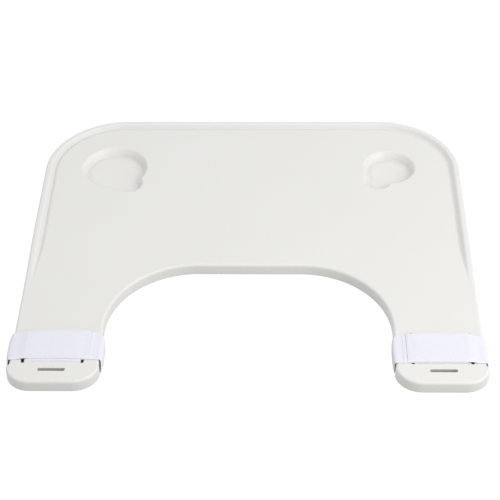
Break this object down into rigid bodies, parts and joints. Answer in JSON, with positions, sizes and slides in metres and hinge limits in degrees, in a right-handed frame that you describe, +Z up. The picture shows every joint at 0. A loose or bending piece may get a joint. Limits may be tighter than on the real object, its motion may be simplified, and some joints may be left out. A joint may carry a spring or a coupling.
{
  "type": "lap tray with straps",
  "caption": "U-shaped moulded tray that fits round the user's body over a chair's armrests, with cup wells and hook-and-loop straps on its arms.",
  "frame": {"origin": "on the surface that the tray lies on, under the middle of the object's box", "axes": "+X to the user's right, +Y away from the user, so that the open side of the U faces -Y, +Z up"},
  "size_m": [0.611, 0.5414, 0.0223],
  "materials": {
    "tray_plastic": "white, satin moulded",
    "strap_webbing": "white woven webbing",
    "loop_tape": "white napped loop tape",
    "hook_tape": "white hook tape"
  },
  "bodies": {
    "tray": {"tray_board": "tray_plastic", "left_strap_loop": "strap_webbing", "left_loop_patch": "loop_tape", "right_strap_loop": "strap_webbing", "right_loop_patch": "loop_tape"},
    "left_flap": {"left_strap_flap": "strap_webbing", "left_hook_patch": "hook_tape"},
    "right_flap": {"right_strap_flap": "strap_webbing", "right_hook_patch": "hook_tape"}
  },
  "joints": [
    {"name": "left_flap_lift", "type": "hinge", "parent": "tray", "child": "left_flap", "pos_m": [-0.29755, -0.20675, 0.01895], "axis": [0, -1, 0], "range_deg": [0, 180]},
    {"name": "right_flap_lift", "type": "hinge", "parent": "tray", "child": "right_flap", "pos_m": [0.29755, -0.21175, 0.01895], "axis": [0, 1, 0], "range_deg": [0, 180]}
  ]
}
